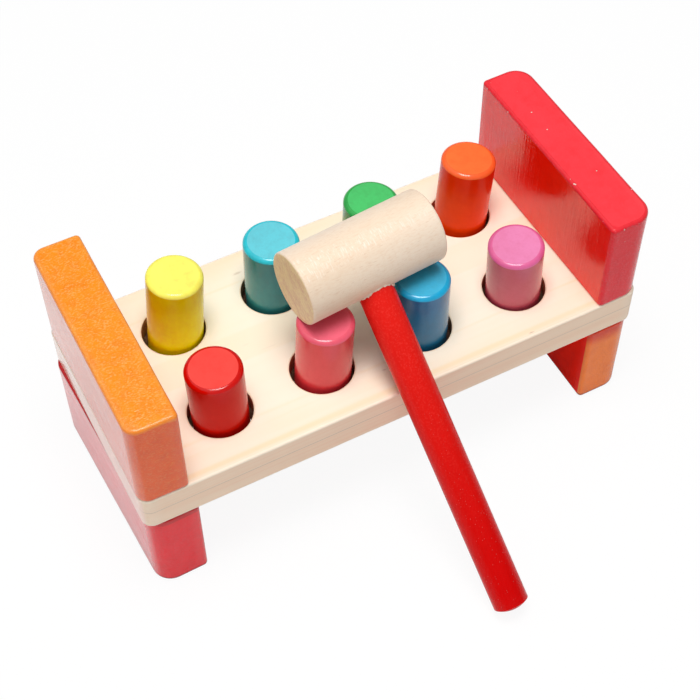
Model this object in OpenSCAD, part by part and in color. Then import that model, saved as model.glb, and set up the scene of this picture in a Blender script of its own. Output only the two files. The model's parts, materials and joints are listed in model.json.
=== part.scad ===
// Peg pounding bench: a board of two glued planks between painted end blocks and legs, with pegs that
// stand in oversize holes, held up by rubber rings, and a wooden mallet that lies across the pegs.
// Lengths are in millimetres. The origin is on the floor, under the middle of the bench with its mallet.

/* [Board] */
// Length of the board, which is the length of the bench
board_l = 229.5; // [210:0.5:260]
// Width of the board from front to back
board_w = 100; // [90:1:120]
// Thickness of the board's upper plank
upper_plank_t = 8.5; // [7:0.5:14]
// Thickness of the board's lower plank, which holds the grip rings
lower_plank_t = 10; // [8:0.5:16]
// Radius of the board's four upright corners
corner_r = 5; // [2:0.5:9]

/* [End blocks and legs] */
// Height of the two upper end blocks
block_h = 47.5; // [30:0.5:60]
// Thickness of the two upper end blocks along the bench
block_t = 21; // [17:0.5:23]
// Height of the two legs
leg_h = 46.5; // [43:0.5:60]
// Thickness of the two legs along the bench
leg_t = 22; // [17:0.5:24]
// Radius of the outer upright corners of the right upper block and of both legs
bar_corner_r = 8.5; // [2:0.5:10]
// Radius of the outer upright corners of the left upper block
left_block_corner_r = 5.5; // [2:0.5:10]
// Radius of the sanded edges of the blocks and legs
edge_r = 1; // [0.4:0.1:2]
// Turn of the left and the right upper block as they are glued on, seen from above, in degrees
block_turn = [-0.25, 1.1]; // [-2:0.05:2]
// Turn of the left and the right leg as they are glued on, seen from above, in degrees
leg_turn = [1.75, 0.4]; // [-2:0.05:2]

/* [Dowels] */
// Diameter of the hidden dowels that pin the blocks and legs to the board
dowel_d = 8; // [6:0.5:10]
// Depth that a dowel reaches into the block above and the leg below
dowel_depth = 14; // [10:1:25]
// Distance between the two dowels of one end
dowel_pitch = 60; // [30:1:70]

/* [Holes and grip rings] */
// Diameter of the peg holes
hole_d = 27; // [26:0.5:29]
// Distance between the two rows of holes
hole_pitch_y = 46.5; // [42:0.5:52]
// Thickness of a rubber grip ring
ring_t = 4; // [3:0.1:5]

/* [Pegs] */
// Diameter of the pegs
peg_d = 23.5; // [22:0.5:25]
// Length of the pegs
peg_l = 60; // [50:1:62]
// Radius of the rounded rim at each end of a peg
peg_rim_r = 1.5; // [0.5:0.1:3]

/* [How the pegs stand] */
// Height of the yellow peg above the board, along the peg
yellow_stand = 35; // [25:0.5:38]
// Height of the turquoise peg above the board, along the peg
turquoise_stand = 32.5; // [25:0.5:38]
// Height of the green peg above the board, along the peg
green_stand = 32; // [25:0.5:38]
// Height of the orange peg above the board, along the peg
orange_stand = 33; // [25:0.5:38]
// Height of the red peg above the board, along the peg
red_stand = 29; // [20:0.5:38]
// Height of the pink peg above the board, along the peg
pink_stand = 31; // [25:0.5:36]
// Height of the blue peg above the board, along the peg
blue_stand = 32; // [25:0.5:36]
// Height of the mauve peg above the board, along the peg
mauve_stand = 29.5; // [20:0.5:38]
// Lean of the yellow peg to the right and to the back, as shares of the play in its hole
yellow_lean = [0.55, -0.2]; // [-0.7:0.05:0.7]
// Lean of the turquoise peg to the right and to the back, as shares of the play in its hole
turquoise_lean = [0.1, -0.15]; // [-0.7:0.05:0.7]
// Lean of the green peg to the right and to the back, as shares of the play in its hole
green_lean = [0.3, 0]; // [-0.7:0.05:0.7]
// Lean of the orange peg to the right and to the back, as shares of the play in its hole
orange_lean = [0.6, 0.15]; // [-0.7:0.05:0.7]
// Lean of the red peg to the right and to the back, as shares of the play in its hole
red_lean = [-0.15, 0]; // [-0.7:0.05:0.7]
// Lean of the pink peg to the right and to the back, as shares of the play in its hole
pink_lean = [0.35, -0.15]; // [-0.5:0.05:0.5]
// Lean of the blue peg to the right and to the back, as shares of the play in its hole
blue_lean = [0, 0]; // [-0.2:0.05:0.5]
// Lean of the mauve peg to the right and to the back, as shares of the play in its hole
mauve_lean = [-0.4, -0.25]; // [-0.7:0.05:0.7]

/* [Mallet] */
// Diameter of the mallet's head
head_d = 31; // [26:0.5:36]
// Length of the mallet's head
head_l = 62; // [52:0.5:80]
// Chamfer around both ends of the head
head_chamfer = 0.8; // [0.2:0.1:2]
// Distance that the head's middle lies behind the front row of pegs
head_behind = 9.5; // [6:0.5:14]
// Turn of the mallet on the pegs, seen from above, in degrees
mallet_turn = 4.5; // [0:0.5:7]
// Diameter of the mallet's handle
handle_d = 15; // [12:0.5:17]
// Length of the handle from the middle of the head to its tip
handle_l = 158.5; // [130:0.5:190]
// Rise of the handle's domed tip
dome_h = 2.5; // [1:0.1:6]
// Depth of the handle's socket beyond the middle of the head
socket_past = 5; // [2:0.5:9]

/* [Clearances] */
// Gap between a grip ring and a peg at its full lean
grip_gap = 0.05; // [0.01:0.01:0.1]
// Gap around a grip ring in its groove
groove_gap = 0.2; // [0.1:0.05:0.4]
// Gap around a glued dowel or handle
glue_gap = 0.05; // [0.02:0.01:0.1]
// Gap that keeps loose pieces just off what they rest on
rest_gap = 0.3; // [0.2:0.05:0.5]

/* [Hidden] */
$fn = 96;
// How far a cut runs past the faces that it opens
past = 1;

// Heights of the board
seam_z = leg_h + lower_plank_t;
board_top = seam_z + upper_plank_t;

// A ring sits in a groove in the top of the lower plank, and a leaning peg pivots in the ring's middle
groove_depth = ring_t + 2 * groove_gap;
pivot_z = seam_z - groove_depth / 2;
peg_play = atan(((hole_d - peg_d) / 2 - rest_gap) / max(board_top - pivot_z, pivot_z - leg_h));
ring_mid_r = (peg_d + ring_t) / 2 / cos(peg_play) + grip_gap;
groove_r = ring_mid_r + ring_t / 2 + groove_gap;

// The pegs, from left to right in the back row and then in the front row
PEG_COLOURS = ["yellow", "turquoise", "green", "orange", "red", "pink", "blue", "mauve"];
PEG_PAINTS = ["#f6ee4c", "#5ccfe0", "#48c86a", "#fb6a2c", "#f04444", "#f5597f", "#2ba9dc", "#ef7cb4"];
PEG_STANDS = [yellow_stand, turquoise_stand, green_stand, orange_stand,
              red_stand, pink_stand, blue_stand, mauve_stand];
PEG_LEANS = [yellow_lean, turquoise_lean, green_lean, orange_lean,
             red_lean, pink_lean, blue_lean, mauve_lean];
columns = 4;
pegs = len(PEG_COLOURS);
// The holes are spread evenly, as far from each other as from the ends of the board
hole_pitch_x = board_l / (columns + 1);
pink = 5;
blue = 6;

// How upright a peg stands, and the highest point of its tilted top
function upright(i) = cos(peg_play * PEG_LEANS[i].x) * cos(peg_play * PEG_LEANS[i].y);
function crest(i) = board_top + PEG_STANDS[i] * upright(i) + peg_d / 2 * sqrt(1 - upright(i) ^ 2);

// The mallet's head lies on the pink and the blue peg
head_tilt = atan((crest(blue) - crest(pink)) / hole_pitch_x);
head_z = (crest(pink) + crest(blue)) / 2 + (head_d / 2 + rest_gap) / cos(head_tilt);
head_from_bench = head_behind - hole_pitch_y / 2;

// The handle dips until its tip meets the floor or its underside meets the board's front edge
handle_r = handle_d / 2;
shaft_l = handle_l - dome_h;
floor_dip = asin(min(1, (head_z - rest_gap) / norm([shaft_l, handle_r]))) - atan2(handle_r, shaft_l);
to_edge = [(board_w / 2 + head_from_bench) / cos(mallet_turn), head_z - board_top];
edge_dip = atan2(to_edge.y, to_edge.x) - asin((handle_r + rest_gap) / norm(to_edge));
handle_dip = min(floor_dip, edge_dip);

// The bench stands back from the origin by half of what the handle reaches out in front of it
handle_reach = cos(mallet_turn) * (shaft_l * cos(handle_dip) + handle_r * sin(handle_dip));
bench_y = (handle_reach - head_from_bench - board_w / 2) / 2;

// Two dowels at each end, through the middle of the thinner of block and leg
dowel_x = board_l / 2 - min(block_t, leg_t) / 2;
dowel_y = dowel_pitch / 2;
dowel_l = board_top - leg_h + 2 * (dowel_depth - rest_gap);

SIDES = ["left", "right"];
ROWS = ["back", "front"];

// A rectangle about the origin with rounded corners
module rounded_rect(l, w, r) {
    square([l - 2 * r, w], center = true);
    square([l, w - 2 * r], center = true);
    for (x = [r - l / 2, l / 2 - r], y = [r - w / 2, w / 2 - r])
        translate([x, y]) circle(r);
}

// The outline of the board seen from above
module board_plan() {
    translate([0, bench_y]) rounded_rect(board_l, board_w, corner_r);
}

// Moves what it holds to the middle of each peg hole
module at_holes() {
    for (i = [0:pegs - 1])
        at_hole(i) children();
}

module at_hole(i) {
    row_y = (0.5 - floor(i / columns)) * hole_pitch_y;
    translate([(i % columns - (columns - 1) / 2) * hole_pitch_x, bench_y + row_y, 0]) children();
}

// Moves what it holds to one dowel's axis, with x and y each -1 or 1
module at_dowel(x, y) {
    translate([x * dowel_x, bench_y + y * dowel_y, 0]) children();
}

// The bores that the dowels are glued into, over a stretch of height
module dowel_bores(from_z, to_z) {
    for (x = [-1, 1], y = [-1, 1])
        at_dowel(x, y) translate([0, 0, from_z]) cylinder(d = dowel_d + 2 * glue_gap, h = to_z - from_z);
}

// A plank of the board, with its peg holes and dowel bores
module plank(from_z, t) {
    difference() {
        translate([0, 0, from_z]) linear_extrude(t) board_plan();
        at_holes() translate([0, 0, from_z - past]) cylinder(d = hole_d, h = t + 2 * past);
        dowel_bores(from_z - past, from_z + t + past);
    }
}

module upper_plank() {
    color("#f3dfc0") plank(seam_z, upper_plank_t);
}

module lower_plank() {
    color("#ecd3b0") difference() {
        plank(leg_h, lower_plank_t);
        at_holes() translate([0, 0, seam_z - groove_depth]) cylinder(r = groove_r, h = groove_depth + past);
    }
}

// A bar with sanded edges across one end of the bench, its outer corners rounded by r and turned a little
// as it was glued on: side is -1 on the left and 1 on the right
module end_bar(side, from_z, t, h, r, turn) {
    translate([side * (board_l - t) / 2, bench_y, from_z + h / 2]) rotate(turn) intersection() {
        translate([-side * r, 0, 0]) linear_extrude(h, center = true) rounded_rect(t + 2 * r, board_w, r);
        linear_extrude(h, center = true) rounded_rect(t, board_w, edge_r);
        rotate([90, 0, 0]) linear_extrude(board_w, center = true) rounded_rect(t, h, edge_r);
        rotate([90, 0, 90]) linear_extrude(t, center = true) rounded_rect(board_w, h, edge_r);
    }
}

module upper_block(side) {
    r = side < 0 ? left_block_corner_r : bar_corner_r;
    difference() {
        end_bar(side, board_top, block_t, block_h, r, block_turn[(side + 1) / 2]);
        dowel_bores(board_top - past, board_top + dowel_depth);
    }
}

module leg(side) {
    difference() {
        end_bar(side, 0, leg_t, leg_h, bar_corner_r, leg_turn[(side + 1) / 2]);
        dowel_bores(leg_h - dowel_depth, leg_h + past);
    }
}

module left_upper_block() {
    color("#f98f1d") upper_block(-1);
}

module right_upper_block() {
    color("#ee3a3c") upper_block(1);
}

module left_leg() {
    color("#d3424c") leg(-1);
}

module right_leg() {
    color("#ee8433") leg(1);
}

// A grooveless beech dowel, through both planks and into the block and the leg
module dowel(x, y) {
    color("#d9b483") at_dowel(x, y)
        translate([0, 0, leg_h - dowel_depth + rest_gap]) cylinder(d = dowel_d, h = dowel_l);
}

// A round rubber ring around one peg, in the groove between the planks
module grip_ring(i) {
    color("#5c3b26") at_hole(i) translate([0, 0, pivot_z])
        rotate_extrude() translate([ring_mid_r, 0]) circle(d = ring_t);
}

// A turned peg with rounded rims, standing out of its hole and leaning in its ring
module peg(i) {
    tilt = peg_play * PEG_LEANS[i];
    top = (board_top - pivot_z) / upright(i) + PEG_STANDS[i];
    color(PEG_PAINTS[i]) at_hole(i) translate([0, 0, pivot_z]) rotate([-tilt.y, tilt.x, 0])
        translate([0, 0, top - peg_l]) rotate_extrude() {
            square([peg_d / 2 - peg_rim_r, peg_l]);
            translate([0, peg_rim_r]) square([peg_d / 2, peg_l - 2 * peg_rim_r]);
            for (z = [peg_rim_r, peg_l - peg_rim_r])
                translate([peg_d / 2 - peg_rim_r, z]) circle(peg_rim_r);
        }
}

// Moves the mallet from its own axes, head along X and handle along -Y, to where it lies
module lay_mallet() {
    translate([0, bench_y + head_from_bench, head_z]) rotate([handle_dip, -head_tilt, mallet_turn]) children();
}

// A turned beech barrel with chamfered ends and a blind socket for the handle
module mallet_head() {
    r = head_d / 2;
    end = head_l / 2;
    color("#e3c090") lay_mallet() difference() {
        rotate([0, 90, 0]) rotate_extrude() polygon([
            [0, -end], [r - head_chamfer, -end], [r, head_chamfer - end],
            [r, end - head_chamfer], [r - head_chamfer, end], [0, end]]);
        translate([0, socket_past, 0]) rotate([90, 0, 0])
            cylinder(d = handle_d + 2 * glue_gap, h = socket_past + r + past);
    }
}

// A painted dowel rod with a domed tip, glued into the head
module mallet_handle() {
    dome_r = (handle_r ^ 2 + dome_h ^ 2) / (2 * dome_h);
    color("#dd2a22") lay_mallet() rotate([90, 0, 0]) rotate_extrude() {
        translate([0, rest_gap - socket_past]) square([handle_r, shaft_l + socket_past - rest_gap]);
        intersection() {
            translate([0, handle_l - dome_r]) circle(dome_r);
            translate([0, shaft_l]) square([handle_r, dome_h]);
        }
    }
}

upper_plank();
lower_plank();
left_upper_block();
right_upper_block();
left_leg();
right_leg();
for (s = [0, 1], r = [0, 1])
    dowel(2 * s - 1, 1 - 2 * r);
for (i = [0:pegs - 1])
    grip_ring(i);
for (i = [0:pegs - 1])
    peg(i);
mallet_head();
mallet_handle();
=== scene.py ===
import json
import math

import bmesh
import bpy
from mathutils import Matrix, Vector, noise


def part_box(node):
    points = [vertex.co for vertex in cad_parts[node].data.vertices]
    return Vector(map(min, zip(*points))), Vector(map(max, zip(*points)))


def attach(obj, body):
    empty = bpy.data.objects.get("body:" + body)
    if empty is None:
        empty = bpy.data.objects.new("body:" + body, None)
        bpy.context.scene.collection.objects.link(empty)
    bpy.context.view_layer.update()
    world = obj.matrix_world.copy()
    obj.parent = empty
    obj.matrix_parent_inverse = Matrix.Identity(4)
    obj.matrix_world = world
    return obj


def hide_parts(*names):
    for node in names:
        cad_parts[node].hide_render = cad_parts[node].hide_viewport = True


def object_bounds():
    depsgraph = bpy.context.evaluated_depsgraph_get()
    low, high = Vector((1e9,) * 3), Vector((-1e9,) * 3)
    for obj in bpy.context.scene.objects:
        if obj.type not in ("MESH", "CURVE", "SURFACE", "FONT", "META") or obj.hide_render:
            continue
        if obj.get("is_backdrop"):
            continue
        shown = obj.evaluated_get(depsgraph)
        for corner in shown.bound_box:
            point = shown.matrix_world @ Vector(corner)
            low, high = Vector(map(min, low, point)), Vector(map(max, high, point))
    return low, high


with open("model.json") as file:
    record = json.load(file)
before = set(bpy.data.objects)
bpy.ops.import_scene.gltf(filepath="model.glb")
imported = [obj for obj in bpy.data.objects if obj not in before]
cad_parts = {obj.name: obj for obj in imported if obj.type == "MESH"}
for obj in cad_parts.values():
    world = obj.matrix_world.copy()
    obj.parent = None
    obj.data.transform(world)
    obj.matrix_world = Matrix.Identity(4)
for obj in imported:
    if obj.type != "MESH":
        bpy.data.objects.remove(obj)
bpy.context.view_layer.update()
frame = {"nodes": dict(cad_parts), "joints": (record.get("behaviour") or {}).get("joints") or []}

# The board.
# Two pine planks glued face to face, cut to one outline and drilled together. The edges and the rims
# of the holes are sanded by hand, so they wander a little, and the glue line shows as a fine groove.
MM = 0.001
CORNER = 5 * MM
BOARD_EASE = 0.9 * MM
SEAM_EASE = 0.08 * MM
HOLE_RADIUS = 13.5 * MM
HOLE_EASE = 0.2 * MM
GROOVE_DEPTH = 4.4 * MM
GROOVE_PLAY = 0.2 * MM
DOWEL_BORE = 4.05 * MM
COLOURS = ("yellow", "turquoise", "green", "orange", "red", "pink", "blue", "mauve")
DOWELS = ("left_back_dowel", "left_front_dowel", "right_back_dowel", "right_front_dowel")

# How finely the wood is shaped, how far the sanding strays, and in waves of what size.
FLAT_MARGIN = 0.35 * MM
EDGE_STEP = 4 * MM
ARC_STEP = 0.6 * MM
EASE_STEPS = 4
HOLE_POINTS = 96
DOWEL_POINTS = 32
SMOOTH_ANGLE = math.radians(35)
WORN_RADIUS = 1.5 * MM
BOARD_ROAM = 0.10 * MM
EDGE_WAVE = 18 * MM
RIM_WAVE = 3 * MM

# Which of a piece's finishes the walls of its bores have, and which one a plank's edge has.
BORE_SLOT = 1
EDGE_SLOT = 2


def middle(node):
    """The middle of a node's box at rest."""
    low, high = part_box(node)
    return (low + high) / 2


bench_middle = middle("upper_plank")
plank_low, plank_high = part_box("upper_plank")
holes = {colour: middle(colour + "_ring") for colour in COLOURS}


def tint(red, green, blue):
    """A colour given as a screen shows it, from 0 to 255, turned into the light that it sends back."""
    shares = [value / 255 for value in (red, green, blue)]
    return tuple(s / 12.92 if s <= 0.04045 else ((s + 0.055) / 1.055) ** 2.4 for s in shares) + (1.0,)


def wander(place, size, seed):
    """How far a sanded surface strays there, from 0 to 1, in waves of about that size."""
    return 0.5 + 0.5 * noise.noise(Vector(place) / size + Vector((seed, 7 * seed, 3 * seed)))


def round_angles(count):
    """That many angles, evenly round a circle."""
    return [2 * math.pi * i / count for i in range(count)]


def rounded_outline(low, high, radii):
    """Points round a rectangle from its front left corner, as (point, outward direction, sharpness)."""
    corners = ((low[0], low[1]), (high[0], low[1]), (high[0], high[1]), (low[0], high[1]))
    arcs = []
    for index, ((x, y), radius) in enumerate(zip(corners, radii)):
        across = radius if index in (0, 3) else -radius
        back = radius if index < 2 else -radius
        centre = Vector((x + across, y + back))
        steps = max(EASE_STEPS, round(radius / ARC_STEP))
        arc = []
        for step in range(steps + 1):
            angle = math.pi * (1 + index / 2 + step / steps / 2)
            out = Vector((math.cos(angle), math.sin(angle)))
            arc.append((centre + radius * out, out, min(1.0, WORN_RADIUS / radius)))
        arcs.append(arc)
    points = []
    for arc, following in zip(arcs, arcs[1:] + arcs[:1]):
        points += arc
        start, end = arc[-1][0], following[0][0]
        pieces = max(2, round((end - start).length / EDGE_STEP))
        points += [(start.lerp(end, i / pieces), arc[-1][1], 0.0) for i in range(1, pieces)]
    return points


def eased_wall(low, high, ease_low, ease_high, rows=1):
    """The profile of a sanded wall from its foot to its top, as (inset, height, sharpness)."""
    def quarter(height, ease, way):
        turn = [math.pi / 2 * i / EASE_STEPS for i in range(EASE_STEPS + 1)]
        arc = [(ease * (1 - math.sin(a)), height + way * ease * (1 - math.cos(a)), 1.0) for a in turn]
        margin = ease + FLAT_MARGIN
        return [(margin, height, 0.0)] + arc + [(0, height + way * margin, 0.0)]

    below = quarter(low, ease_low, 1)
    above = quarter(high, ease_high, -1)
    rise = (above[-1][1] - below[-1][1]) / rows
    between = [(0, below[-1][1] + rise * i, 0.0) for i in range(1, rows)]
    return below + between + above[::-1]


def add_row(bm, places, sharpness):
    """A closed row of points, each with how worn the surface is there."""
    worn = bm.verts.layers.float["worn"]
    row = [bm.verts.new(place) for place in places]
    for point, sharp in zip(row, sharpness):
        point[worn] = sharp
    return row


def add_skin(bm, rows, slot=0):
    """Faces between neighbouring rows of points."""
    for low, high in zip(rows, rows[1:]):
        for i in range(len(low)):
            j = (i + 1) % len(low)
            bm.faces.new((low[i], low[j], high[j], high[i])).material_index = slot


def add_flat(bm, rows):
    """A flat face bounded by the first row, with the other rows as holes in it."""
    edges = [bm.edges.get((row[i - 1], row[i])) for row in rows for i in range(len(row))]
    bmesh.ops.triangle_fill(bm, use_beauty=True, edges=edges)


def add_bore(bm, centre, bore, roam, seed):
    """The wall of a bore, from its profile of (radius, height, sharpness), with unevenly sanded rims."""
    count = HOLE_POINTS if bore[0][0] > DOWEL_BORE else DOWEL_POINTS
    rows = []
    for radius, height, sharp in bore:
        places = []
        for angle in round_angles(count):
            out = Vector((math.cos(angle), math.sin(angle), 0))
            uneven = radius + roam * sharp * wander(centre + out * radius, RIM_WAVE, seed)
            places.append((*(centre + out * uneven).xy, height))
        rows.append(add_row(bm, places, [sharp] * count))
    add_skin(bm, rows, BORE_SLOT)
    return rows


def new_mesh():
    """An empty mesh that keeps how worn each of its points is."""
    bm = bmesh.new()
    bm.verts.layers.float.new("worn")
    return bm


def as_object(name, bm, place=None):
    """The finished piece, set in its place, smooth except at real corners."""
    if place:
        bm.transform(place)
    bmesh.ops.recalc_face_normals(bm, faces=bm.faces)
    mesh = bpy.data.meshes.new(name)
    bm.to_mesh(mesh)
    bm.free()
    mesh.shade_smooth()
    mesh.set_sharp_from_angle(angle=SMOOTH_ANGLE)
    piece = bpy.data.objects.new(name, mesh)
    bpy.context.scene.collection.objects.link(piece)
    return piece


def slab(name, outline, profile, bores, roam, seed, wall_slot=0):
    """A flat piece of wood: an outline, the profile of its wall, and bores given as (middle, profile)."""
    bm = new_mesh()
    walls = []
    for inset, height, sharp in profile:
        places = []
        for point, out, _ in outline:
            strayed = inset + roam * wander((*point, height), EDGE_WAVE, seed)
            places.append((*(point - out * strayed), height))
        walls.append(add_row(bm, places, [max(sharp, corner) for _, _, corner in outline]))
    add_skin(bm, walls, wall_slot)
    low, high = profile[0][1], profile[-1][1]
    floors, roofs = [walls[0]], [walls[-1]]
    for centre, bore in bores:
        rows = add_bore(bm, centre, bore, roam, seed + 1)
        ends = ((rows[0], bore[0][1] == low, floors), (rows[-1], bore[-1][1] == high, roofs))
        for row, open_end, flat in ends:
            if open_end:
                flat.append(row)
            else:
                bm.faces.new(row).material_index = BORE_SLOT
    add_flat(bm, floors)
    add_flat(bm, roofs)
    return as_object(name, bm)


class Shade:
    """One socket among a material's nodes. Sums and products of these add Math nodes."""

    def __init__(self, tree, socket=None):
        self.tree = tree
        self.socket = socket

    def node(self, kind, settings=None, sockets=None, output=0):
        """Adds a node: first its settings, then the values or links of its sockets."""
        made = self.tree.nodes.new("ShaderNode" + kind)
        for name, value in (settings or {}).items():
            setattr(made, name, value)
        for name, value in (sockets or {}).items():
            if isinstance(value, Shade):
                self.tree.links.new(value.socket, made.inputs[name])
            else:
                made.inputs[name].default_value = value
        return Shade(self.tree, made.outputs[output] if made.outputs else None)

    def math(self, operation, *others):
        """This value, alone or followed by others, put through a Math node."""
        return self.node("Math", {"operation": operation}, dict(enumerate((self, *others))))

    def vector(self, operation, *others, output=0):
        """This place or colour, alone or followed by others, put through a Vector Math node."""
        sockets = dict(enumerate((self, *others)))
        return self.node("VectorMath", {"operation": operation}, sockets, output)

    def __add__(self, other):
        return self.math("ADD", other)

    def __sub__(self, other):
        return self.math("SUBTRACT", other)

    def __rsub__(self, other):
        return self.node("Math", {"operation": "SUBTRACT"}, {0: other, 1: self})

    def __mul__(self, other):
        return self.math("MULTIPLY", other)

    def __pow__(self, power):
        return self.math("POWER", power)

    __radd__ = __add__
    __rmul__ = __mul__

    def step(self, start, end):
        """0 up to start and 1 from end on, with a soft slope between."""
        sockets = {"Value": self, "From Min": start, "From Max": end}
        return self.node("MapRange", {"interpolation_type": "SMOOTHSTEP"}, sockets)

    def blend(self, low, high):
        """The colour low where this value is 0, and high where it is 1."""
        return self.node("Mix", {"data_type": "RGBA"}, {0: self, 6: low, 7: high}, output=2)

    def stretch(self, x, y, z):
        """These coordinates, scaled along each axis."""
        return self.vector("MULTIPLY", (x, y, z))

    def shift(self, x, y, z):
        """These coordinates, moved."""
        return self.vector("ADD", (x, y, z))

    def part(self, axis):
        """One of these coordinates."""
        return self.node("SeparateXYZ", None, {0: self}, output=axis)

    def worn(self):
        """How worn the surface is, from 0 to 1, as the piece's mesh keeps it."""
        return self.node("Attribute", {"attribute_name": "worn"}, output="Fac")

    def cloud(self, scale, detail=2.0, roughness=0.5):
        """Soft noise around 0.5 at these coordinates, in lumps of one part in scale of a metre."""
        sockets = {"Vector": self, "Scale": scale, "Detail": detail, "Roughness": roughness}
        return self.node("TexNoise", None, sockets)

    def specks(self, scale, radius, share):
        """1 in sparse round specks: radius is a share of their spacing, share how many spaces hold one."""
        cell = {"Vector": self, "Scale": scale}
        distance = self.node("TexVoronoi", None, cell, output="Distance")
        chance = self.node("TexVoronoi", None, cell, output="Color")
        picked = chance.node("SeparateColor", None, {"Color": chance}).step(1 - share, 1.001 - share)
        return (1 - distance.step(0.6 * radius, radius)) * picked


def new_finish(name, place=None):
    """A bare material, and the spot on the piece, measured from where the piece was set in place."""
    material = bpy.data.materials.new(name)
    material.use_nodes = True
    material.node_tree.nodes.clear()
    start = Shade(material.node_tree)
    spot = start.node("TexCoord", output="Object")
    if place:
        sockets = {"Vector": spot, "Location": place.translation, "Rotation": place.to_euler()}
        spot = start.node("Mapping", {"vector_type": "TEXTURE"}, sockets)
    return material, spot


COAT_ROUGHNESS = 0.08


def surface(spot, colour, roughness, height, depth, gloss=0.5, coat=0.0):
    """The outermost layer: colour, roughness, a relief of that depth, gloss, and a polished coat."""
    relief = spot.node("Bump", None, {"Strength": 1.0, "Distance": depth, "Height": height})
    sockets = {"Base Color": colour, "Roughness": roughness, "Normal": relief}
    sockets.update({"Specular IOR Level": gloss, "Coat Weight": coat, "Coat Roughness": COAT_ROUGHNESS})
    spot.node("OutputMaterial", None, {"Surface": spot.node("BsdfPrincipled", None, sockets)})


PINE_PALE = tint(247, 233, 209)
PINE_WARM = tint(246, 228, 199)
PINE_LINE = tint(244, 218, 174)
PINE_FLECK = tint(168, 128, 92)
PINE_WORN = tint(252, 244, 225)
PINE_RELIEF = 0.05 * MM
RING_SPACING = 5.5 * MM
RING_DRIFT = 12 * MM
LINE_DRIFT = 5 * MM

# The middle of the tree beside each plank, across from the bench's middle and up from the floor.
PITH = {"upper_plank": (60 * MM, -55 * MM), "lower_plank": (90 * MM, 130 * MM)}

# In millimetres from the bench's middle: flecks as (x, y, half length, half width, strength), and
# growth lines as (y, half width, strength). The last value is how softly such a line ends.
FLECKS = ((-32.3, 38.4, 3.2, 1.0, 0.85), (-0.9, -36.5, 1.8, 0.6, 0.8), (-45.6, 1.8, 3.0, 0.6, 0.35),
          (-37.2, -3.8, 5.0, 0.6, 0.25), (62.5, -48.0, 2.0, 0.5, 0.5))
GROWTH_LINES = ((33.6, 1.4, 1.0), (1.5, 8.5, 0.95), (-33.0, 1.3, 1.0), (-46.5, 1.8, 0.7))
LINE_FADE = 1.6


def pine(name, pith_y, pith_z, bench_y, seed):
    """Bare pine sawn along X: rings round a pith beside the plank, streaks, fibres and flecks."""
    material, spot = new_finish(name)
    across = spot.shift(0, -pith_y, -pith_z)
    drift = spot.shift(seed, 0, 0).stretch(5, 28, 28).cloud(1.0, 2.0)
    sideways, upward = across.part("Y"), across.part("Z")
    out = (sideways * sideways + upward * upward) ** 0.5 + (drift - 0.5) * RING_DRIFT
    ring = (out * (2 * math.pi / RING_SPACING)).math("SINE") * 0.5 + 0.5
    streak = spot.shift(0, seed, 0).stretch(7, 120, 120).cloud(1.0, 3.0)
    fibre = spot.stretch(90, 2600, 2600).cloud(1.0, 2.0)
    colour = streak.step(0.36, 0.72).blend(PINE_PALE, PINE_WARM)
    latewood = (ring ** 9) * (drift.step(0.3, 0.7) * 0.3 + 0.05)
    colour = latewood.blend(colour, PINE_LINE)
    level = spot.part("Y") - bench_y + (drift - 0.5) * LINE_DRIFT
    patch = spot.shift(0, 0, seed + 1).stretch(9, 30, 30).cloud(1.0, 2.0).step(0.3, 0.6)
    for y, width, strength in GROWTH_LINES:
        beside = (level - y * MM).math("ABSOLUTE").step((width - LINE_FADE) * MM, width * MM)
        colour = ((1 - beside) * (patch * 0.4 + 0.6) * strength).blend(colour, PINE_LINE)
    colour = (fibre.step(0.6, 0.85) * 0.12).blend(colour, PINE_LINE)
    for x, y, length, width, strength in FLECKS:
        near = spot.shift(-x * MM, -y * MM - bench_y, 0).stretch(1 / (length * MM), 1 / (width * MM), 0)
        ragged = near.vector("LENGTH", output="Value") + (fibre - 0.5) * 1.6
        colour = ((1 - ragged.step(0.1, 0.9)) * strength).blend(colour, PINE_FLECK)
    colour = (spot.worn() * 0.7).blend(colour, PINE_WORN)
    height = fibre * 0.4 + ring * 0.5 + streak * 0.3
    surface(spot, colour, 0.5 + streak * 0.14, height, PINE_RELIEF)
    return material


EDGE_PALE = tint(253, 227, 200)
EDGE_LINE = tint(247, 206, 174)
EDGE_END = tint(255, 212, 194)
END_FROM = 1.3 * MM
END_FULL = 0.8 * MM
SEAM_LINE = tint(170, 116, 82)
SEAM_STRAY = 0.2 * MM
SEAM_FULL = 0.1 * MM
SEAM_FADE = 0.3 * MM


def planed_edge(name, seed, seam):
    """The planed edge of a plank: pinker than its face, with fine lines, a dark seam and shiny ends."""
    material, spot = new_finish(name)
    line = spot.shift(0, seed, seed).stretch(10, 700, 700).cloud(1.0, 3.0)
    band = spot.shift(seed, 0, 0).stretch(8, 150, 150).cloud(1.0, 2.0)
    colour = (line.step(0.42, 0.8) * 0.45 + band.step(0.45, 0.75) * 0.35).blend(EDGE_PALE, EDGE_LINE)
    end = spot.part("X").math("ABSOLUTE").step(plank_high.x - END_FROM, plank_high.x - END_FULL)
    colour = (end * 0.8).blend(colour, EDGE_END)
    colour = (spot.worn() * 0.6).blend(colour, PINE_WORN)
    beside_seam = (spot.part("Z") - seam).math("ABSOLUTE") + (line - 0.5) * SEAM_STRAY
    colour = ((1 - beside_seam.step(SEAM_FULL, SEAM_FADE)) * 0.4).blend(colour, SEAM_LINE)
    surface(spot, colour, 0.5 + band * 0.15, line, PINE_RELIEF, coat=end * 0.9)
    return material


BORE_PALE = tint(222, 158, 112)
BORE_DARK = tint(150, 84, 54)
BORE_RELIEF = 0.4 * MM


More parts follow.
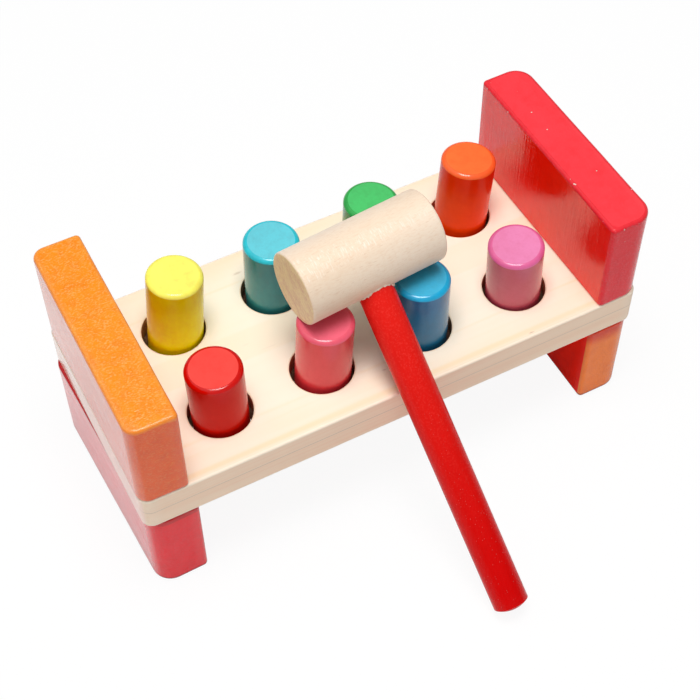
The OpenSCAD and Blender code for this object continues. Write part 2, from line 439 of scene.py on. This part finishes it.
def drilled_wood():
    """The wall of a drilled hole: end grain, scorched by the drill, with torn pale fibres at its rims."""
    material, spot = new_finish("drilled_wood")
    torn = spot.stretch(1, 1, 0.35).cloud(900, 4.0, 0.7)
    turns = spot.stretch(0.4, 0.4, 6).cloud(260, 2.0)
    colour = (torn * 0.6 + turns * 0.4).step(0.34, 0.66).blend(BORE_DARK, BORE_PALE)
    colour = spot.specks(700, 0.28, 0.08).blend(colour, PINE_WARM)
    colour = (spot.worn() + spot.cloud(600, 3.0) * 0.5).step(0.5, 0.75).blend(colour, PINE_WARM)
    surface(spot, colour, 0.8 + torn * 0.1, torn, BORE_RELIEF)
    return material


def ring_reach(colour):
    """How far a peg's grip ring reaches out from the middle of its hole."""
    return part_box(colour + "_ring")[1].x - holes[colour].x


def hole_wall(low, high, ease_low, ease_high):
    """The wall of a peg's hole from its lower rim to its upper, as (radius, height, sharpness)."""
    wall = eased_wall(low, high, ease_low, ease_high)
    return [(HOLE_RADIUS + inset, height, 1.0 if inset else sharp) for inset, height, sharp in wall]


def dowel_wall(low, high):
    """The straight wall of a dowel's bore, as (radius, height, sharpness)."""
    return [(DOWEL_BORE, low, 0.0), (DOWEL_BORE, high, 0.0)]


BOARD_SEED = 3
FACE_SEED = {"upper_plank": 2, "lower_plank": 0}
EDGE_SEED = {"upper_plank": 5, "lower_plank": 4}

bore_finish = drilled_wood()
for plank, (pith_y, pith_z) in PITH.items():
    low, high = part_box(plank)
    if plank == "upper_plank":
        profile = eased_wall(low.z, high.z, SEAM_EASE, BOARD_EASE)
        hole = hole_wall(low.z, high.z, SEAM_EASE, HOLE_EASE)
    else:
        profile = eased_wall(low.z, high.z, BOARD_EASE, SEAM_EASE)
        groove_radius = max(ring_reach("yellow") + GROOVE_PLAY, HOLE_RADIUS)
        groove_floor = high.z - GROOVE_DEPTH
        hole = hole_wall(low.z, groove_floor, HOLE_EASE, SEAM_EASE)
        hole += [(groove_radius, groove_floor, 0.0), (groove_radius, high.z, 0.0)]
    bores = [(holes[colour], hole) for colour in COLOURS]
    bores += [(middle(name), dowel_wall(low.z, high.z)) for name in DOWELS]
    outline = rounded_outline(low, high, [CORNER] * 4)
    piece = slab(plank + "_wood", outline, profile, bores, BOARD_ROAM, BOARD_SEED, EDGE_SLOT)
    face = pine(plank + "_pine", pith_y + bench_middle.y, pith_z, bench_middle.y, FACE_SEED[plank])
    edge = planed_edge(plank + "_edge", EDGE_SEED[plank], plank_low.z)
    for finish in (face, bore_finish, edge):
        piece.data.materials.append(finish)
    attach(piece, "bench")
    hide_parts(plank)

# The grip rings.
# Round rings of brown rubber that lie in the groove between the planks, one round each peg. They
# squeeze the peg, so that it stands up by itself and only moves when it is struck.
RING_RADIUS = 2 * MM
RING_POINTS = 96
RING_SIDES = 20
RUBBER_BROWN = tint(92, 58, 38)
RUBBER_DUSTY = tint(150, 106, 72)
RUBBER_RELIEF = 0.04 * MM


def rubber():
    """Moulded rubber, dusted by the wood that wears off the pegs and the holes."""
    material, spot = new_finish("grip_rubber")
    dust = spot.cloud(420, 4.0, 0.65)
    colour = dust.step(0.5, 0.8).blend(RUBBER_BROWN, RUBBER_DUSTY)
    surface(spot, colour, 0.62 + dust * 0.2, spot.cloud(2400, 2.0), RUBBER_RELIEF)
    return material


def round_ring(name, centre, outer):
    """A ring of round section that lies flat about its centre."""
    bm = new_mesh()
    rows = []
    for angle in round_angles(RING_SIDES):
        reach = outer - RING_RADIUS + RING_RADIUS * math.cos(angle)
        height = RING_RADIUS * math.sin(angle)
        turns = round_angles(RING_POINTS)
        places = [centre + Vector((reach * math.cos(t), reach * math.sin(t), height)) for t in turns]
        rows.append(add_row(bm, places, [0.0] * RING_POINTS))
    add_skin(bm, rows + rows[:1])
    return as_object(name, bm)


ring_finish = rubber()
for colour in COLOURS:
    node = colour + "_ring"
    ring = round_ring(node + "_rubber", holes[colour], ring_reach(colour))
    ring.data.materials.append(ring_finish)
    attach(ring, "bench")
    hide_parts(node)

# The dowels.
# Plain beech dowels, glued through both planks into the block above and the leg below. They are
# hidden once the bench is together, so they keep the bare shape that they are turned to.
DOWEL_PALE = tint(226, 192, 146)
DOWEL_DARK = tint(203, 162, 113)
DOWEL_BANDS = 60
BEECH_RELIEF = 0.12 * MM
CUT_FROM = 0.25 * MM
CUT_FULL = 0.05 * MM


def bare_beech(name, pale, dark, fleck, bands, rough=0.4, place=None, pore=None, ridge_highlight=None, ridge=None,
               end_grain=None, end=None):
    """Bare beech turned about its grain, Z: soft bands, fine dashes and tool marks.

    It has dark pores, turning marks painted pale near the direction ridge as a painted highlight, and ends
    cut off at the height end, above and below, where their colours pore, rubbed and end_grain are given.
    """
    material, spot = new_finish(name, place)
    band = spot.stretch(bands, bands, 9).cloud(1.0, 1.0)
    dash = spot.stretch(1700, 1700, 430).cloud(1.0, 3.0, 0.6)
    marks = spot.stretch(90, 90, 1500).cloud(1.0, 4.0, 0.7)
    colour = band.step(0.3, 0.75).blend(pale, dark)
    colour = (dash.step(0.42, 0.78) * 0.45 + marks.step(0.5, 0.8) * 0.12).blend(colour, fleck)
    if pore:
        pores = spot.stretch(1, 1, 0.14).specks(1900, 0.27, 0.22)
        colour = (pores * 0.27).blend(colour, pore)
    # Painted highlight: pale turning marks where the barrel faces the ridge direction.
    if ridge_highlight:
        near = spot.vector("DOT_PRODUCT", ridge, output="Value").step(0.94, 0.995)
        turning = spot.stretch(330, 330, 1700).cloud(1.0, 3.0, 0.6).step(0.5, 0.68)
        colour = (near * turning * 0.42).blend(colour, ridge_highlight)
    if end_grain:
        cut = spot.part("Z").math("ABSOLUTE").step(end - CUT_FROM, end - CUT_FULL)
        open_grain = spot.stretch(1, 0.55, 0).cloud(1100, 5.0, 0.7).step(0.36, 0.7) * 0.7
        saw_marks = spot.stretch(1, 0.35, 0).cloud(240, 3.0).step(0.4, 0.7) * 0.45
        colour = cut.blend(colour, (open_grain + saw_marks).blend(end_grain, fleck))
    surface(spot, colour, rough + band * 0.12, 1 - dash + marks * 0.7, BEECH_RELIEF)
    return material


dowel_finish = bare_beech("dowel_beech", DOWEL_PALE, DOWEL_DARK, DOWEL_DARK, DOWEL_BANDS)
for name in DOWELS:
    wood = frame["nodes"][name]
    wood.data.materials.clear()
    wood.data.materials.append(dowel_finish)

# The end blocks and the legs.
# Four blocks of wood across the ends of the board, two above it and two below. They are sawn, rounded
# at the outer corners, dipped in gloss paint and glued on over the dowels, not quite square.
BLOCK_THICK = 21 * MM
LEG_THICK = 22 * MM
BLOCK_EASE = 1.45 * MM
SEAT_EASE = 1.0 * MM
INNER_CORNER = 2.0 * MM
DOWEL_DEPTH = 14 * MM
BLOCK_ROWS = 10
BLOCK_ROAM = 0.16 * MM
BLOCK_SEED = 11
INNER_SLOT = 2
INNER_FACING = 0.99
CHIP_WOOD = tint(252, 226, 214)
PIT_DARK = tint(92, 6, 14)
PAINT_DEEPER = (0.88, 0.7, 0.7)
SEED_SHIFT = (0.37, 0.11, 0.23)

# How far out of square each block is glued on, in degrees, how round its outer corners are, and the
# paint of its top, its sides and its inner face. These are lit and shaded copies of one paint: the upper
# blocks' tops are painted paler as painted light, and the legs' tops, the legs' feet and the right leg's
# inner face are painted darker as painted shade. The glints and the left block's brighter edge are
# painted highlights.
END_BLOCKS = {
    # The left block's top is painted paler as painted light; its glints and brighter edge are painted
    # highlights.
    "left_upper_block": dict(
        slot="orange_paint", turn=-0.25, corner=5.5 * MM, top=tint(245, 144, 20),
        sides=dict(side=tint(245, 100, 36), gloss=0.26, edge=tint(252, 158, 50), peel=2200,
                   peel_along=0.5, peel_depth=0.2 * MM, glint=tint(255, 192, 112), glint_top=1.0),
        inner=dict(side=tint(240, 96, 30), gloss=0.3, pits=0.03)),
    "right_upper_block": dict(
        slot="red_paint", turn=1.1, corner=8.5 * MM, top=tint(248, 62, 71),
        sides=dict(side=tint(238, 22, 40), gloss=0.2, edge=tint(222, 24, 40), chips=0.3,
                   glint=tint(246, 96, 116), nibs=(210, 0.09, 0.3)),
        inner=dict(side=tint(250, 24, 4), gloss=0.45, pits=0.16)),
    # The legs' tops are painted darker over fade as painted shade under the board, and their feet as
    # painted shade.
    "left_leg": dict(
        slot="crimson_paint", turn=1.75, corner=8.5 * MM, top=tint(206, 0, 14),
        sides=dict(side=tint(243, 17, 36), gloss=0.27, foot=tint(132, 8, 24), fade=3.6 * MM,
                   fade_end=2.2 * MM, glint=tint(246, 110, 122), glint_side=0.12),
        inner=dict(side=tint(238, 36, 48), gloss=0.3, pits=0.03)),
    "right_leg": dict(
        slot="orange_paint", turn=0.4, corner=8.5 * MM, top=tint(226, 58, 0),
        sides=dict(side=tint(255, 134, 42), gloss=0.2, foot=tint(150, 52, 6), fade=11 * MM,
                   fade_end=2 * MM, glint=tint(255, 180, 110), glint_side=0.12),
        # The right leg's inner face is painted deep red as painted shade.
        inner=dict(side=tint(255, 30, 0), gloss=0.01, pits=0.03)),
}

# Where the paint changes, as distances from the top, the foot or the end that it changes at.
EDGE_FROM = 2.8 * MM
EDGE_FULL = 1.8 * MM
UNDER_FROM = 18 * MM
UNDER_FULL = 4 * MM
FOOT_FULL = 0.9 * MM
FOOT_FADE = 2.6 * MM
POLISH_FROM = 3.5 * MM
POLISH_FADE = 1.5 * MM


def gloss_paint(name, face, seed, top, side, gloss, place=None, fade=1.2 * MM, fade_end=0.05 * MM,
                edge=None, edge_depth=1.0, shade_under_edge=None, foot=None, peel=1000, peel_along=1.0,
                peel_depth=0.16 * MM, mottle=0.45, grain=(30, 5, 30), grain_relief=0.5, matt=0.14,
                edge_polish=0.3, polish_from=None, glint=None, glint_top=0.1, glint_side=0.4, nibs=None,
                nib_strength=0.85, chips=0.0, pits=0.0):
    """Gloss paint on wood: uneven, with orange peel, faint grain, polished edges, glints and flaws.

    Its sides turn into the colour top between fade and fade_end below the height face. The colours edge,
    shade_under_edge and foot, a polish from polish_from on along X, and nibs, chips and pits are optional.
    The top colour is painted light on lit tops and painted shade on shaded ones, shade_under_edge and foot
    are painted shade, and the glints are painted highlights.
    """
    material, spot = new_finish(name, place)
    rise = spot.part("Z")
    upward = rise.step(face - fade, face - fade_end)
    worn = spot.worn()
    top_edge = worn.step(0.25, 0.7) * rise.step(face - EDGE_FROM, face - EDGE_FULL)
    own_spot = spot.shift(*(share * seed for share in SEED_SHIFT))
    skin = own_spot.stretch(peel_along, 1, 1).cloud(peel, 2.0)
    lumps = own_spot.cloud(230, 3.0)
    pool = own_spot.cloud(45, 3.0)
    lines = own_spot.stretch(*grain).cloud(8, 3.0)
    paint = side
    # Painted shade: shade_under_edge darkens the side just under the edge.
    if shade_under_edge:
        paint = rise.step(face - UNDER_FROM, face - UNDER_FULL).blend(side, shade_under_edge)
    # Painted light and shade: the top's own colour, paler on lit tops and darker on shaded ones.
    paint = upward.blend(paint, top)
    if edge:
        paint = (top_edge * edge_depth).blend(paint, edge)
    deep = paint.vector("MULTIPLY", PAINT_DEEPER)
    uneven = pool.step(0.3, 0.75) * 0.3 + lumps.step(0.4, 0.75) * mottle + lines.step(0.45, 0.8) * 0.2
    colour = (uneven + skin.step(0.35, 0.75) * 0.15).blend(paint, deep)
    # Painted highlights: glints on the orange peel, glint_top of them on the top and glint_side on the
    # sides.
    if glint:
        share = upward * (glint_top - glint_side) + glint_side
        colour = (skin.step(0.46, 0.72) * (lumps * 0.5 + 0.25) * share).blend(colour, glint)
    colour = (worn * own_spot.cloud(160, 3.0).step(0.4, 0.7) * 0.5).blend(colour, deep)
    # Painted shade: the foot colour darkens the bottom edge, which is in shadow.
    if foot:
        colour = (1 - rise.step(FOOT_FULL, FOOT_FADE)).blend(colour, foot)
    height = skin + lumps * 0.8 + lines * grain_relief
    if nibs:
        nib = own_spot.specks(*nibs) * (upward * 0.8 + 0.2)
        colour = (nib * nib_strength).blend(colour, CHIP_WOOD)
        height = height + nib * 2
    if chips:
        chip = own_spot.specks(420, 0.2, chips) * top_edge
        colour = (chip * 0.75).blend(colour, CHIP_WOOD)
        height = height - chip * 2
    if pits:
        pit = own_spot.specks(75, 0.045, pits)
        colour = (pit * 0.8).blend(colour, PIT_DARK)
        height = height - pit * 5
    polished = worn * edge_polish
    if polish_from:
        outward = spot.part("X").math("ABSOLUTE").step(polish_from, polish_from + POLISH_FADE)
        polished = polished.math("MAXIMUM", outward * (lines * 0.5 + 0.34))
    surface(spot, colour, matt + pool * 0.12, height, peel_depth, gloss, polished)
    return material


for seed, (node, block) in enumerate(END_BLOCKS.items(), BLOCK_SEED):
    low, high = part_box(node)
    half_depth = (plank_high.y - plank_low.y) / 2
    if node.endswith("block"):
        half = Vector((BLOCK_THICK / 2, half_depth))
        profile = eased_wall(low.z, high.z, SEAT_EASE, BLOCK_EASE, BLOCK_ROWS)
        pin = dowel_wall(low.z, low.z + DOWEL_DEPTH)
    else:
        half = Vector((LEG_THICK / 2, half_depth))
        profile = eased_wall(low.z, high.z, BLOCK_EASE, SEAT_EASE, BLOCK_ROWS)
        pin = dowel_wall(high.z - DOWEL_DEPTH, high.z)
    outer = block["corner"]
    left = node.startswith("left")
    if left:
        centre = Vector((plank_low.x + half.x, bench_middle.y))
        radii = (outer, INNER_CORNER, INNER_CORNER, outer)
    else:
        centre = Vector((plank_high.x - half.x, bench_middle.y))
        radii = (INNER_CORNER, outer, outer, INNER_CORNER)
    glued = Matrix.Rotation(math.radians(block["turn"]), 2)
    outline = [(centre + glued @ point, glued @ out, sharp)
               for point, out, sharp in rounded_outline(-half, half, radii)]
    bores = [(middle(name), pin) for name in DOWELS if name.startswith("left") == left]
    piece = slab(node + "_painted", outline, profile, bores, BLOCK_ROAM, seed)
    sides = gloss_paint(node + "_gloss", high.z, seed, block["top"], **block["sides"],
                        edge_depth=0.6, polish_from=plank_high.x - POLISH_FROM)
    inner = gloss_paint(node + "_inner_gloss", high.z, seed, block["top"], **block["inner"], peel=900,
                        peel_depth=0.09 * MM, grain=(110, 110, 6), grain_relief=1.3, matt=0.03)
    for finish in (sides, bore_finish, inner):
        piece.data.materials.append(finish)
    for face in piece.data.polygons:
        if face.material_index == 0 and face.normal.x * (1 if left else -1) > INNER_FACING:
            face.material_index = INNER_SLOT
    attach(piece, "bench")
    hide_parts(node)

# The pegs.
# Turned wooden pegs with rounded rims, dipped in gloss paint of one colour each. They stand loose in
# the holes, so each one leans its own way in its rubber ring. Their tops are painted paler than their
# sides as painted light, and the sides darker just under the rim as painted shade.
PEG_RADIUS = 11.75 * MM
PEG_LENGTH = 60 * MM
PEG_RIM = 1.75 * MM
PEG_RIM_DROP = 0.88
PEG_RIM_BOW = 0.6
PEG_POLISH = 0.8
TURNED_POINTS = 128
FLAT_SHARE = 0.4
RIM_WORN = 0.8

# Each peg's colours on its top, painted paler as painted light, its rim, its side and its side just
# under the rim, painted darker as painted shade, and its gloss.
PEG_PAINT = {
    "yellow": (tint(247, 248, 112), tint(250, 252, 104), tint(255, 252, 0), tint(246, 238, 0), 0.1),
    "turquoise": (tint(100, 206, 220), tint(34, 200, 216), tint(52, 150, 156), tint(30, 136, 142), 0.45),
    "green": (tint(74, 200, 108), tint(40, 170, 74), tint(34, 156, 62), tint(24, 140, 50), 0.5),
    "orange": (tint(250, 117, 57), tint(252, 104, 46), tint(251, 70, 4), tint(242, 50, 0), 0.12),
    "red": (tint(243, 78, 70), tint(206, 6, 0), tint(222, 22, 8), tint(218, 16, 6), 0.1),
    "pink": (tint(246, 108, 132), tint(243, 98, 122), tint(240, 66, 76), tint(238, 62, 72), 0.5),
    "blue": (tint(62, 184, 224), tint(10, 172, 220), tint(28, 128, 176), tint(22, 114, 166), 0.5),
    "mauve": (tint(231, 134, 182), tint(227, 104, 160), tint(212, 88, 110), tint(206, 80, 106), 0.5),
}
slides = {joint["child"]: joint for joint in frame["joints"]}


def turned(name, profile, place):
    """A piece turned about Z, from a profile of (radius, height, sharpness) between its two flat ends."""
    bm = new_mesh()
    angles = round_angles(TURNED_POINTS)
    rows = []
    for radius, height, sharp in profile:
        places = [(radius * math.cos(a), radius * math.sin(a), height) for a in angles]
        rows.append(add_row(bm, places, [sharp] * TURNED_POINTS))
    add_skin(bm, rows)
    bm.faces.new(rows[0])
    bm.faces.new(rows[-1])
    return as_object(name, bm, place)


def broken_rim(radius, height, ease, way, steps=7, bow=1.0):
    """A rim from a flat end to the side, as (radius, height, sharpness): round, or straight at no bow."""
    arc = []
    for along in [i / steps for i in range(steps + 1)]:
        turn = math.pi / 2 * along
        out = bow * math.sin(turn) + (1 - bow) * along
        down = bow * (1 - math.cos(turn)) + (1 - bow) * along
        arc.append((radius - ease * (1 - out), height + way * ease * down, RIM_WORN))
    flat = [(FLAT_SHARE * radius, height, 0.0), (radius - ease - FLAT_MARGIN, height, 0.0)]
    return flat + arc + [(radius, height + way * (ease + FLAT_MARGIN), 0.0)]


for seed, colour in enumerate(COLOURS):
    node = colour + "_peg"
    slide = slides[node]
    up = -Vector(slide["axis"]).normalized()
    stand = slide["range_m"][1]
    top = (plank_high.z - holes[colour].z) / up.z + stand
    place = Matrix.Translation(holes[colour]) @ up.to_track_quat("Z", "Y").to_matrix().to_4x4()
    profile = broken_rim(PEG_RADIUS, top - PEG_LENGTH, PEG_RIM, PEG_RIM_DROP, bow=PEG_RIM_BOW)
    profile += broken_rim(PEG_RADIUS, top, PEG_RIM, -PEG_RIM_DROP, bow=PEG_RIM_BOW)[::-1]
    peg = turned(node + "_painted", profile, place)
    # struck is the top's colour, painted paler as painted light; shade_under_edge is painted shade.
    painted_light_top, edge, side, shade_under_edge, gloss = PEG_PAINT[colour]
    finish = gloss_paint(node + "_gloss", top, seed, painted_light_top, side, gloss, place, fade=0.5 * MM, edge=edge,
                         shade_under_edge=shade_under_edge, peel=900, peel_depth=0.04 * MM, mottle=0.25,
                         grain=(40, 40, 4), edge_polish=PEG_POLISH - gloss)
    peg.data.materials.append(finish)
    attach(peg, node)
    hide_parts(node)
    node + "_paint"

# The mallet's head.
# A barrel of bare beech, turned and cut off square, with its sharp rims broken and pale turning marks
# painted along its ridge as a painted highlight. A blind socket is drilled square into its side for the
# handle.
MALLET_TURN = math.radians(4.5)
MALLET_TILT = math.radians(0.547233)
MALLET_DIP = math.radians(43.213143)
HEAD_RADIUS = 15.49 * MM
HEAD_LENGTH = 62 * MM
HEAD_RIM = 0.9 * MM
HEAD_RIM_STEPS = 4
SOCKET_RADIUS = 7.55 * MM
SOCKET_PAST = 5 * MM
BEECH_PALE = tint(242, 223, 202)
BEECH_WARM = tint(237, 212, 184)
BEECH_FLECK = tint(227, 191, 157)
BEECH_END = tint(255, 240, 188)
BEECH_PORE = tint(190, 144, 108)
BEECH_HIGHLIGHT = tint(255, 250, 242)
HEAD_BANDS = 45
HEAD_ROUGHNESS = 0.3
RIDGE_FROM = Vector((0, -0.33, 0.94))
mallet_place = (Matrix.Translation(middle("mallet_head")) @ Matrix.Rotation(MALLET_TURN, 4, "Z")
                @ Matrix.Rotation(-MALLET_TILT, 4, "Y") @ Matrix.Rotation(MALLET_DIP, 4, "X"))
along_head = mallet_place @ Matrix.Rotation(math.pi / 2, 4, "Y")
along_handle = mallet_place @ Matrix.Rotation(math.pi / 2, 4, "X")

end = HEAD_LENGTH / 2
profile = broken_rim(HEAD_RADIUS, -end, HEAD_RIM, 1, HEAD_RIM_STEPS)
profile += broken_rim(HEAD_RADIUS, end, HEAD_RIM, -1, HEAD_RIM_STEPS)[::-1]
head = turned("mallet_head_beech", profile, along_head)
socket = [(SOCKET_RADIUS, -SOCKET_PAST, 0.0), (SOCKET_RADIUS, 2 * HEAD_RADIUS, 0.0)]
bit = turned("socket_bit", socket, along_handle)
drill = head.modifiers.new("socket", "BOOLEAN")
drill.operation = "DIFFERENCE"
drill.solver = "EXACT"
drill.object = bit
bpy.context.view_layer.update()
drilled = bpy.data.meshes.new_from_object(head.evaluated_get(bpy.context.evaluated_depsgraph_get()))
drilled.set_sharp_from_angle(angle=SMOOTH_ANGLE)
head.modifiers.clear()
head.data = drilled
bpy.data.objects.remove(bit)
head.data.materials.clear()
ridge = along_head.to_3x3().inverted() @ RIDGE_FROM / HEAD_RADIUS
head_finish = bare_beech("mallet_beech", BEECH_PALE, BEECH_WARM, BEECH_FLECK, HEAD_BANDS, HEAD_ROUGHNESS,
                         along_head, BEECH_PORE, BEECH_HIGHLIGHT, ridge, BEECH_END, end)
head.data.materials.append(head_finish)
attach(head, "mallet")
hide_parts("mallet_head")

# The mallet's handle.
# A length of dowel rod with a domed tip, dipped in red gloss paint and glued into the head.
HANDLE_RADIUS = 7.49 * MM
HANDLE_LENGTH = 158.5 * MM
HANDLE_RIM = 0.4 * MM
HANDLE_RIM_STEPS = 3
SOCKET_GAP = 0.3 * MM
DOME_RISE = 2.5 * MM
DOME_WORN = 0.4
DOME_WORN_ROWS = 2
SHAFT_ROWS = 24
DOME_ROWS = 12
HANDLE_SEED = 21
HANDLE_RED = tint(233, 33, 25)
HANDLE_TIP = tint(213, 0, 0)
HANDLE_GLINT = tint(255, 82, 70)
HANDLE_GLOSS = 0.1

dome_radius = (HANDLE_RADIUS ** 2 + DOME_RISE ** 2) / (2 * DOME_RISE)
shaft_start = SOCKET_GAP - SOCKET_PAST
shaft_length = HANDLE_LENGTH - DOME_RISE - shaft_start
profile = broken_rim(HANDLE_RADIUS, shaft_start, HANDLE_RIM, 1, HANDLE_RIM_STEPS)
for i in range(1, SHAFT_ROWS):
    profile.append((HANDLE_RADIUS, shaft_start + shaft_length * i / SHAFT_ROWS, 0.0))
for i in range(DOME_ROWS):
    angle = math.asin(HANDLE_RADIUS / dome_radius) * (1 - i / DOME_ROWS)
    height = HANDLE_LENGTH - dome_radius * (1 - math.cos(angle))
    profile.append((dome_radius * math.sin(angle), height, DOME_WORN if i < DOME_WORN_ROWS else 0.0))
handle = turned("mallet_handle_painted", profile, along_handle)
# Painted shade: the red deepens into HANDLE_TIP towards the tip. Painted highlights: HANDLE_GLINT and the
# pale colour of the nibs, whose bumps are real.
handle_finish = gloss_paint("handle_gloss", HANDLE_LENGTH, HANDLE_SEED, HANDLE_TIP, HANDLE_RED,
                            HANDLE_GLOSS, along_handle, fade=HANDLE_LENGTH, peel=1300,
                            peel_depth=0.06 * MM, mottle=0.2, grain=(40, 40, 3), glint=HANDLE_GLINT,
                            glint_top=0.0, glint_side=0.5, nibs=(1000, 0.22, 0.25), nib_strength=0.1)
handle.data.materials.append(handle_finish)
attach(handle, "mallet")
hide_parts("mallet_handle")

# The bead of glue.
# Where the handle was pushed home, glue squeezed out round it and dried with torn fibres of the head
# in it, as a ragged pale bead in the corner between the two.
BEAD_POINTS = 160
BEAD_SIDES = 8
BEAD_RADIUS = 0.34 * MM
BEAD_THIN = 0.25
BEAD_SWELL = 1.5
BEAD_WAVE = 1.0 * MM
BEAD_SEED = 5
BEAD_OUT = 0.4
BEAD_TALL = 1.3
SWAY = 1.8
SWAY_DOWN = 0.5
SWAY_WAVE = 0.7 * MM
SWAY_SEED = 9
FLAKE_TURN = math.radians(38)
FLAKE_WIDTH = 0.12
FLAKE_SWELL = 1.4
GLUE_PALE = tint(250, 238, 224)
GLUE_SHADE = tint(228, 200, 176)
GLUE_RELIEF = 0.3 * MM


def dried_glue():
    """Dried wood glue with fibres in it: chalky, pale and lumpy."""
    material, spot = new_finish("dried_glue")
    lumps = spot.cloud(900, 3.0, 0.6)
    colour = lumps.step(0.35, 0.7).blend(GLUE_SHADE, GLUE_PALE)
    surface(spot, colour, 0.6, lumps, GLUE_RELIEF)
    return material


bm = new_mesh()
rows = []
for angle in round_angles(BEAD_POINTS):
    out = Vector((math.cos(angle), math.sin(angle), 0))
    head_height = math.sqrt(HEAD_RADIUS ** 2 - (HANDLE_RADIUS * out.y) ** 2)
    seat = Vector((0, 0, head_height)) + out * HANDLE_RADIUS
    flake = math.exp(-((angle - FLAKE_TURN) / FLAKE_WIDTH) ** 2)
    swell = BEAD_SWELL * wander(seat, BEAD_WAVE, BEAD_SEED) ** 2
    thick = BEAD_RADIUS * (BEAD_THIN + swell + FLAKE_SWELL * flake)
    sway = thick * (SWAY * wander(seat, SWAY_WAVE, SWAY_SEED) - SWAY_DOWN)
    ragged = seat + out * BEAD_OUT * thick + Vector((0, 0, sway))
    places = [ragged + thick * (out * math.cos(s) + Vector((0, 0, BEAD_TALL * math.sin(s))))
              for s in round_angles(BEAD_SIDES)]
    rows.append(add_row(bm, places, [0.0] * BEAD_SIDES))
add_skin(bm, rows + rows[:1])
bead = as_object("glue_bead", bm, along_handle)
bead.data.materials.append(dried_glue())
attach(bead, "mallet")

# The photographer's table.
# A plain white sheet under a soft lamp, in a room that is bright overhead, a little bright in front and
# dark all round. The camera is where the photograph was taken from.
TABLE_SIZE = 6.0
SHEET_WHITE = (0.95, 0.95, 0.95, 1.0)
PURE_WHITE = (1.0, 1.0, 1.0, 1.0)
SHEET_GLOW = 0.92
SHEET_MIRRORED = 0.3
ROOM_LIGHT = 1.0
ROOM_LIGHT_FROM = (-0.3, 0.1, 0.95)
ROOM_LIGHT_EDGE = 0.58
ROOM_FILL = 0.25
ROOM_FILL_FROM = (-0.2, -0.96, 0.2)
ROOM_FILL_EDGE = 0.4
ROOM_DARK = 0.06
LAMP_WATTS = 8.9
LAMP_SIZE = 0.46
LAMP_PLACE = Vector((-0.06, -0.06, 1.15))
CAMERA_FROM_BENCH = Vector((-186.6417, -365.7201, 579.6106)) * MM
CAMERA_RIGHT = Vector((0.8856971, -0.4642386, -0.0048107))
CAMERA_FORWARD = Vector((0.2761193, 0.5350674, -0.7984116))
FOCAL_PIXELS = 1558.2513
PHOTO_PIXELS = 700
SENSOR = 36.0


def light_paths(start):
    """What the camera sees, straight or through something clear, and what shows in gloss, as 0 or 1."""
    straight = start.node("LightPath", output="Is Camera Ray")
    through = start.node("LightPath", output="Is Transmission Ray")
    return straight + through, start.node("LightPath", output="Is Glossy Ray")


half = TABLE_SIZE / 2
corners = [(-half, -half, 0), (half, -half, 0), (half, half, 0), (-half, half, 0)]
table_mesh = bpy.data.meshes.new("table_sheet")
table_mesh.from_pydata(corners, [], [(0, 1, 2, 3)])
table = bpy.data.objects.new("table_sheet", table_mesh)
bpy.context.scene.collection.objects.link(table)
sheet, spot = new_finish("white_sheet")
seen, mirrored = light_paths(spot)
share = seen * SHEET_GLOW + mirrored * SHEET_MIRRORED
paper = spot.node("BsdfDiffuse", None, {"Color": SHEET_WHITE})
glow = spot.node("Emission", None, {"Color": PURE_WHITE, "Strength": 1.0})
mixed = spot.node("MixShader", None, {0: share, 1: paper, 2: glow})
spot.node("OutputMaterial", None, {"Surface": mixed})
table.data.materials.append(sheet)
table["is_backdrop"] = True

world = bpy.data.worlds.new("pale_room")
world.use_nodes = True
world.node_tree.nodes.clear()
sky = Shade(world.node_tree)
seen, mirrored = light_paths(sky)
white = seen + mirrored * SHEET_MIRRORED
direction = sky.node("TexCoord", output="Generated")
above = direction.vector("DOT_PRODUCT", ROOM_LIGHT_FROM, output="Value").step(ROOM_LIGHT_EDGE, 1.0)
ahead = direction.vector("DOT_PRODUCT", ROOM_FILL_FROM, output="Value").step(ROOM_FILL_EDGE, 1.0)
level = above * (ROOM_LIGHT - ROOM_DARK) + ahead * ROOM_FILL + ROOM_DARK
room = sky.node("Background", None, {"Color": PURE_WHITE, "Strength": level + white * (1 - level)})
sky.node("OutputWorld", None, {"Surface": room})
bpy.context.scene.world = world

lamp = bpy.data.lights.new("soft_lamp", "AREA")
lamp.energy = LAMP_WATTS
lamp.size = LAMP_SIZE
lamp_object = bpy.data.objects.new("soft_lamp", lamp)
lamp_object.location = LAMP_PLACE
lamp_object.rotation_euler = (bench_middle - LAMP_PLACE).to_track_quat("-Z", "Y").to_euler()
bpy.context.scene.collection.objects.link(lamp_object)

camera = bpy.data.cameras.new("camera")
camera.sensor_width = SENSOR
camera.lens = FOCAL_PIXELS / PHOTO_PIXELS * SENSOR
camera_object = bpy.data.objects.new("camera", camera)
camera_up = CAMERA_RIGHT.cross(CAMERA_FORWARD)
aim = Matrix((CAMERA_RIGHT, camera_up, -CAMERA_FORWARD)).transposed().to_4x4()
camera_place = CAMERA_FROM_BENCH + Vector((0, bench_middle.y, 0))
camera_object.matrix_world = Matrix.Translation(camera_place) @ aim
bpy.context.scene.collection.objects.link(camera_object)
bpy.context.scene.camera = camera_object
bpy.context.scene.view_settings.view_transform = "Standard"

low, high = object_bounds()
